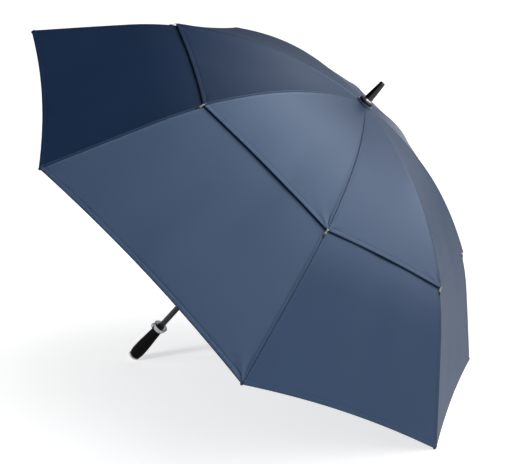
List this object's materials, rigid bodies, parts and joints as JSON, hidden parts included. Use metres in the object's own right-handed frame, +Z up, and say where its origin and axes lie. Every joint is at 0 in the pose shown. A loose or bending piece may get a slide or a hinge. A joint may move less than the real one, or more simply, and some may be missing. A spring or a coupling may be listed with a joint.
{
  "type": "golf umbrella",
  "caption": "Open vented golf umbrella with two canopy layers, folding rib frame, straight shaft and soft grip with a push button, lying on its rim.",
  "frame": {"origin": "on the floor, under the middle of the bounding box, with the umbrella open and at rest on its handle end and two neighbouring rib tips", "axes": "+Z up from the floor; +X along the floor from the handle end towards the two resting rib tips; +Y across the umbrella"},
  "size_m": [0.8578, 1.1802, 0.826],
  "materials": {
    "canopy_cloth": "matte",
    "shaft_black": "satin",
    "frame_black": "satin",
    "rib_fibre": "satin",
    "black_plastic": "gloss",
    "grip_rubber": "matte",
    "silver_trim": "satin",
    "bright_ring": "polished",
    "steel": "satin",
    "core_plastic": "matte"
  },
  "bodies": {
    "frame": {"shaft_tube": "shaft_black", "top_notch": "black_plastic", "notch_pins": "steel", "rosette": "bright_ring", "ferrule_collar": "black_plastic", "ferrule_ring": "bright_ring", "ferrule": "black_plastic", "handle_core": "core_plastic", "handle_grip": "grip_rubber", "handle_cup": "silver_trim", "handle_boss": "black_plastic", "end_cap": "silver_trim", "button_bezel": "black_plastic", "button_spring": "steel"},
    "runner": {"runner": "black_plastic", "runner_pins": "steel"},
    "button": {"push_button": "silver_trim"},
    "rib_1": {"rib_1": "rib_fibre"},
    "rib_end_1": {"rib_end_1": "rib_fibre"},
    "stretcher_1": {"stretcher_1": "frame_black"},
    "rib_2": {"rib_2": "rib_fibre"},
    "rib_end_2": {"rib_end_2": "rib_fibre"},
    "stretcher_2": {"stretcher_2": "frame_black"},
    "rib_3": {"rib_3": "rib_fibre"},
    "rib_end_3": {"rib_end_3": "rib_fibre"},
    "stretcher_3": {"stretcher_3": "frame_black"},
    "rib_4": {"rib_4": "rib_fibre"},
    "rib_end_4": {"rib_end_4": "rib_fibre"},
    "stretcher_4": {"stretcher_4": "frame_black"},
    "rib_5": {"rib_5": "rib_fibre"},
    "rib_end_5": {"rib_end_5": "rib_fibre"},
    "stretcher_5": {"stretcher_5": "frame_black"},
    "rib_6": {"rib_6": "rib_fibre"},
    "rib_end_6": {"rib_end_6": "rib_fibre"},
    "stretcher_6": {"stretcher_6": "frame_black"},
    "rib_7": {"rib_7": "rib_fibre"},
    "rib_end_7": {"rib_end_7": "rib_fibre"},
    "stretcher_7": {"stretcher_7": "frame_black"},
    "rib_8": {"rib_8": "rib_fibre"},
    "rib_end_8": {"rib_end_8": "rib_fibre"},
    "stretcher_8": {"stretcher_8": "frame_black"},
    "vent_gore_1": {"vent_gore_1": "canopy_cloth"},
    "main_gore_1": {"main_gore_1": "canopy_cloth"},
    "vent_gore_2": {"vent_gore_2": "canopy_cloth"},
    "main_gore_2": {"main_gore_2": "canopy_cloth"},
    "vent_gore_3": {"vent_gore_3": "canopy_cloth"},
    "main_gore_3": {"main_gore_3": "canopy_cloth"},
    "vent_gore_4": {"vent_gore_4": "canopy_cloth"},
    "main_gore_4": {"main_gore_4": "canopy_cloth"},
    "vent_gore_5": {"vent_gore_5": "canopy_cloth"},
    "main_gore_5": {"main_gore_5": "canopy_cloth"},
    "vent_gore_6": {"vent_gore_6": "canopy_cloth"},
    "main_gore_6": {"main_gore_6": "canopy_cloth"},
    "vent_gore_7": {"vent_gore_7": "canopy_cloth"},
    "main_gore_7": {"main_gore_7": "canopy_cloth"},
    "vent_gore_8": {"vent_gore_8": "canopy_cloth"},
    "main_gore_8": {"main_gore_8": "canopy_cloth"}
  },
  "joints": [
    {"name": "canopy_fold", "type": "hinge", "parent": "frame", "child": "rib_1", "pos_m": [0.22933, -0.00383, 0.63525], "axis": [0.2775, 0.9239, -0.2635], "range_deg": [0, 67.5]},
    {"name": "rib_flex_1", "type": "hinge", "parent": "rib_1", "child": "rib_end_1", "pos_m": [0.41237, -0.15726, 0.29009], "axis": [0.2775, 0.9239, -0.2635], "range_deg": [-25.01, 0.01]},
    {"name": "stretcher_pivot_1", "type": "hinge", "parent": "rib_1", "child": "stretcher_1", "pos_m": [0.38401, -0.12542, 0.37183], "axis": [0.2775, 0.9239, -0.2635], "range_deg": [-135.01, 0.01]},
    {"name": "rib_fold_2", "type": "hinge", "parent": "frame", "child": "rib_2", "pos_m": [0.22933, 0.00383, 0.63525], "axis": [-0.2775, 0.9239, 0.2635], "range_deg": [-0.01, 67.51]},
    {"name": "rib_flex_2", "type": "hinge", "parent": "rib_2", "child": "rib_end_2", "pos_m": [0.41237, 0.15726, 0.29009], "axis": [-0.2775, 0.9239, 0.2635], "range_deg": [-25.01, 0.01]},
    {"name": "stretcher_pivot_2", "type": "hinge", "parent": "rib_2", "child": "stretcher_2", "pos_m": [0.38401, 0.12542, 0.37183], "axis": [-0.2775, 0.9239, 0.2635], "range_deg": [-135.01, 0.01]},
    {"name": "rib_fold_3", "type": "hinge", "parent": "frame", "child": "rib_3", "pos_m": [0.22541, 0.00924, 0.63898], "axis": [-0.6699, 0.3827, 0.6362], "range_deg": [-0.01, 67.51]},
    {"name": "rib_flex_3", "type": "hinge", "parent": "rib_3", "child": "rib_end_3", "pos_m": [0.25112, 0.37965, 0.44325], "axis": [-0.6699, 0.3827, 0.6362], "range_deg": [-25.01, 0.01]},
    {"name": "stretcher_pivot_3", "type": "hinge", "parent": "rib_3", "child": "stretcher_3", "pos_m": [0.2554, 0.3028, 0.49398], "axis": [-0.6699, 0.3827, 0.6362], "range_deg": [-135.01, 0.01]},
    {"name": "rib_fold_4", "type": "hinge", "parent": "frame", "child": "rib_4", "pos_m": [0.21986, 0.00924, 0.64425], "axis": [-0.6699, -0.3827, 0.6362], "range_deg": [-0.01, 67.51]},
    {"name": "rib_flex_4", "type": "hinge", "parent": "rib_4", "child": "rib_end_4", "pos_m": [0.02307, 0.37965, 0.65985], "axis": [-0.6699, -0.3827, 0.6362], "range_deg": [-25.01, 0.01]},
    {"name": "stretcher_pivot_4", "type": "hinge", "parent": "rib_4", "child": "stretcher_4", "pos_m": [0.07351, 0.3028, 0.66673], "axis": [-0.6699, -0.3827, 0.6362], "range_deg": [-135.01, 0.01]},
    {"name": "rib_fold_5", "type": "hinge", "parent": "frame", "child": "rib_5", "pos_m": [0.21593, 0.00383, 0.64797], "axis": [-0.2775, -0.9239, 0.2635], "range_deg": [-0.01, 67.51]},
    {"name": "rib_flex_5", "type": "hinge", "parent": "rib_5", "child": "rib_end_5", "pos_m": [-0.13818, 0.15726, 0.813], "axis": [-0.2775, -0.9239, 0.2635], "range_deg": [-25.01, 0.01]},
    {"name": "stretcher_pivot_5", "type": "hinge", "parent": "rib_5", "child": "stretcher_5", "pos_m": [-0.0551, 0.12542, 0.78889], "axis": [-0.2775, -0.9239, 0.2635], "range_deg": [-135.01, 0.01]},
    {"name": "rib_fold_6", "type": "hinge", "parent": "frame", "child": "rib_6", "pos_m": [0.21593, -0.00383, 0.64797], "axis": [0.2775, -0.9239, -0.2635], "range_deg": [-0.01, 67.51]},
    {"name": "rib_flex_6", "type": "hinge", "parent": "rib_6", "child": "rib_end_6", "pos_m": [-0.13818, -0.15726, 0.813], "axis": [0.2775, -0.9239, -0.2635], "range_deg": [-25.01, 0.01]},
    {"name": "stretcher_pivot_6", "type": "hinge", "parent": "rib_6", "child": "stretcher_6", "pos_m": [-0.0551, -0.12542, 0.78889], "axis": [0.2775, -0.9239, -0.2635], "range_deg": [-135.01, 0.01]},
    {"name": "rib_fold_7", "type": "hinge", "parent": "frame", "child": "rib_7", "pos_m": [0.21986, -0.00924, 0.64425], "axis": [0.6699, -0.3827, -0.6362], "range_deg": [-0.01, 67.51]},
    {"name": "rib_flex_7", "type": "hinge", "parent": "rib_7", "child": "rib_end_7", "pos_m": [0.02307, -0.37965, 0.65985], "axis": [0.6699, -0.3827, -0.6362], "range_deg": [-25.01, 0.01]},
    {"name": "stretcher_pivot_7", "type": "hinge", "parent": "rib_7", "child": "stretcher_7", "pos_m": [0.07351, -0.3028, 0.66673], "axis": [0.6699, -0.3827, -0.6362], "range_deg": [-135.01, 0.01]},
    {"name": "rib_fold_8", "type": "hinge", "parent": "frame", "child": "rib_8", "pos_m": [0.22541, -0.00924, 0.63898], "axis": [0.6699, 0.3827, -0.6362], "range_deg": [-0.01, 67.51]},
    {"name": "rib_flex_8", "type": "hinge", "parent": "rib_8", "child": "rib_end_8", "pos_m": [0.25112, -0.37965, 0.44325], "axis": [0.6699, 0.3827, -0.6362], "range_deg": [-25.01, 0.01]},
    {"name": "stretcher_pivot_8", "type": "hinge", "parent": "rib_8", "child": "stretcher_8", "pos_m": [0.2554, -0.3028, 0.49398], "axis": [0.6699, 0.3827, -0.6362], "range_deg": [-135.01, 0.01]},
    {"name": "runner_pivot", "type": "hinge", "parent": "stretcher_1", "child": "runner", "pos_m": [0.11298, -0.00383, 0.51275], "axis": [0.2775, 0.9239, -0.2635], "range_deg": [-0.01, 67.51]},
    {"name": "vent_fold_1", "type": "hinge", "parent": "frame", "child": "vent_gore_1", "pos_m": [0.22933, 0, 0.63525], "axis": [0, 1, 0], "range_deg": [-0.01, 64.51], "deforming": ["vent_gore_1"]},
    {"name": "main_fold_1", "type": "hinge", "parent": "vent_gore_1", "child": "main_gore_1", "pos_m": [0.52043, 0, 0.30443], "axis": [0, 1, 0], "range_deg": [-22.01, 0.01], "deforming": ["main_gore_1"]},
    {"name": "vent_fold_2", "type": "hinge", "parent": "frame", "child": "vent_gore_2", "pos_m": [0.22737, 0.00653, 0.63711], "axis": [-0.5127, 0.7071, 0.487], "range_deg": [-0.01, 64.51], "deforming": ["vent_gore_2"]},
    {"name": "main_fold_2", "type": "hinge", "parent": "vent_gore_2", "child": "main_gore_2", "pos_m": [0.42526, 0.31688, 0.39482], "axis": [-0.5127, 0.7071, 0.487], "range_deg": [-22.01, 0.01], "deforming": ["main_gore_2"]},
    {"name": "vent_fold_3", "type": "hinge", "parent": "frame", "child": "vent_gore_3", "pos_m": [0.22263, 0.00924, 0.64161], "axis": [-0.7251, 0, 0.6887], "range_deg": [-0.01, 64.51], "deforming": ["vent_gore_3"]},
    {"name": "main_fold_3", "type": "hinge", "parent": "vent_gore_3", "child": "main_gore_3", "pos_m": [0.1955, 0.44813, 0.61304], "axis": [-0.7251, 0, 0.6887], "range_deg": [-22.01, 0.01], "deforming": ["main_gore_3"]},
    {"name": "vent_fold_4", "type": "hinge", "parent": "frame", "child": "vent_gore_4", "pos_m": [0.2179, 0.00653, 0.64611], "axis": [-0.5127, -0.7071, 0.487], "range_deg": [-0.01, 64.51], "deforming": ["vent_gore_4"]},
    {"name": "main_fold_4", "type": "hinge", "parent": "vent_gore_4", "child": "main_gore_4", "pos_m": [-0.03426, 0.31688, 0.83127], "axis": [-0.5127, -0.7071, 0.487], "range_deg": [-22.01, 0.01], "deforming": ["main_gore_4"]},
    {"name": "vent_fold_5", "type": "hinge", "parent": "frame", "child": "vent_gore_5", "pos_m": [0.21593, 0, 0.64797], "axis": [0, -1, 0], "range_deg": [-0.01, 64.51], "deforming": ["vent_gore_5"]},
    {"name": "main_fold_5", "type": "hinge", "parent": "vent_gore_5", "child": "main_gore_5", "pos_m": [-0.12943, 0, 0.92166], "axis": [0, -1, 0], "range_deg": [-22.01, 0.01], "deforming": ["main_gore_5"]},
    {"name": "vent_fold_6", "type": "hinge", "parent": "frame", "child": "vent_gore_6", "pos_m": [0.2179, -0.00653, 0.64611], "axis": [0.5127, -0.7071, -0.487], "range_deg": [-0.01, 64.51], "deforming": ["vent_gore_6"]},
    {"name": "main_fold_6", "type": "hinge", "parent": "vent_gore_6", "child": "main_gore_6", "pos_m": [-0.03426, -0.31688, 0.83127], "axis": [0.5127, -0.7071, -0.487], "range_deg": [-22.01, 0.01], "deforming": ["main_gore_6"]},
    {"name": "vent_fold_7", "type": "hinge", "parent": "frame", "child": "vent_gore_7", "pos_m": [0.22263, -0.00924, 0.64161], "axis": [0.7251, 0, -0.6887], "range_deg": [-0.01, 64.51], "deforming": ["vent_gore_7"]},
    {"name": "main_fold_7", "type": "hinge", "parent": "vent_gore_7", "child": "main_gore_7", "pos_m": [0.1955, -0.44813, 0.61304], "axis": [0.7251, 0, -0.6887], "range_deg": [-22.01, 0.01], "deforming": ["main_gore_7"]},
    {"name": "vent_fold_8", "type": "hinge", "parent": "frame", "child": "vent_gore_8", "pos_m": [0.22737, -0.00653, 0.63711], "axis": [0.5127, 0.7071, -0.487], "range_deg": [-0.01, 64.51], "deforming": ["vent_gore_8"]},
    {"name": "main_fold_8", "type": "hinge", "parent": "vent_gore_8", "child": "main_gore_8", "pos_m": [0.42526, -0.31688, 0.39482], "axis": [0.5127, 0.7071, -0.487], "range_deg": [-22.01, 0.01], "deforming": ["main_gore_8"]},
    {"name": "button_press", "type": "slide", "parent": "frame", "child": "button", "axis": [0.6011, 0.5592, -0.5709], "range_m": [0, 0.0025], "stiffness_N_per_m": 600, "springref_m": -0.002, "deforming": ["button_spring"]}
  ],
  "couplings": [
    {"joint": "rib_flex_1", "follows": "canopy_fold", "ratio": -0.37037},
    {"joint": "stretcher_pivot_1", "follows": "canopy_fold", "ratio": -2},
    {"joint": "rib_fold_2", "follows": "canopy_fold", "ratio": 1},
    {"joint": "rib_flex_2", "follows": "canopy_fold", "ratio": -0.37037},
    {"joint": "stretcher_pivot_2", "follows": "canopy_fold", "ratio": -2},
    {"joint": "rib_fold_3", "follows": "canopy_fold", "ratio": 1},
    {"joint": "rib_flex_3", "follows": "canopy_fold", "ratio": -0.37037},
    {"joint": "stretcher_pivot_3", "follows": "canopy_fold", "ratio": -2},
    {"joint": "rib_fold_4", "follows": "canopy_fold", "ratio": 1},
    {"joint": "rib_flex_4", "follows": "canopy_fold", "ratio": -0.37037},
    {"joint": "stretcher_pivot_4", "follows": "canopy_fold", "ratio": -2},
    {"joint": "rib_fold_5", "follows": "canopy_fold", "ratio": 1},
    {"joint": "rib_flex_5", "follows": "canopy_fold", "ratio": -0.37037},
    {"joint": "stretcher_pivot_5", "follows": "canopy_fold", "ratio": -2},
    {"joint": "rib_fold_6", "follows": "canopy_fold", "ratio": 1},
    {"joint": "rib_flex_6", "follows": "canopy_fold", "ratio": -0.37037},
    {"joint": "stretcher_pivot_6", "follows": "canopy_fold", "ratio": -2},
    {"joint": "rib_fold_7", "follows": "canopy_fold", "ratio": 1},
    {"joint": "rib_flex_7", "follows": "canopy_fold", "ratio": -0.37037},
    {"joint": "stretcher_pivot_7", "follows": "canopy_fold", "ratio": -2},
    {"joint": "rib_fold_8", "follows": "canopy_fold", "ratio": 1},
    {"joint": "rib_flex_8", "follows": "canopy_fold", "ratio": -0.37037},
    {"joint": "stretcher_pivot_8", "follows": "canopy_fold", "ratio": -2},
    {"joint": "runner_pivot", "follows": "canopy_fold", "ratio": 1},
    {"joint": "vent_fold_1", "follows": "canopy_fold", "ratio": 0.95556},
    {"joint": "main_fold_1", "follows": "canopy_fold", "ratio": -0.32593},
    {"joint": "vent_fold_2", "follows": "canopy_fold", "ratio": 0.95556},
    {"joint": "main_fold_2", "follows": "canopy_fold", "ratio": -0.32593},
    {"joint": "vent_fold_3", "follows": "canopy_fold", "ratio": 0.95556},
    {"joint": "main_fold_3", "follows": "canopy_fold", "ratio": -0.32593},
    {"joint": "vent_fold_4", "follows": "canopy_fold", "ratio": 0.95556},
    {"joint": "main_fold_4", "follows": "canopy_fold", "ratio": -0.32593},
    {"joint": "vent_fold_5", "follows": "canopy_fold", "ratio": 0.95556},
    {"joint": "main_fold_5", "follows": "canopy_fold", "ratio": -0.32593},
    {"joint": "vent_fold_6", "follows": "canopy_fold", "ratio": 0.95556},
    {"joint": "main_fold_6", "follows": "canopy_fold", "ratio": -0.32593},
    {"joint": "vent_fold_7", "follows": "canopy_fold", "ratio": 0.95556},
    {"joint": "main_fold_7", "follows": "canopy_fold", "ratio": -0.32593},
    {"joint": "vent_fold_8", "follows": "canopy_fold", "ratio": 0.95556},
    {"joint": "main_fold_8", "follows": "canopy_fold", "ratio": -0.32593}
  ]
}
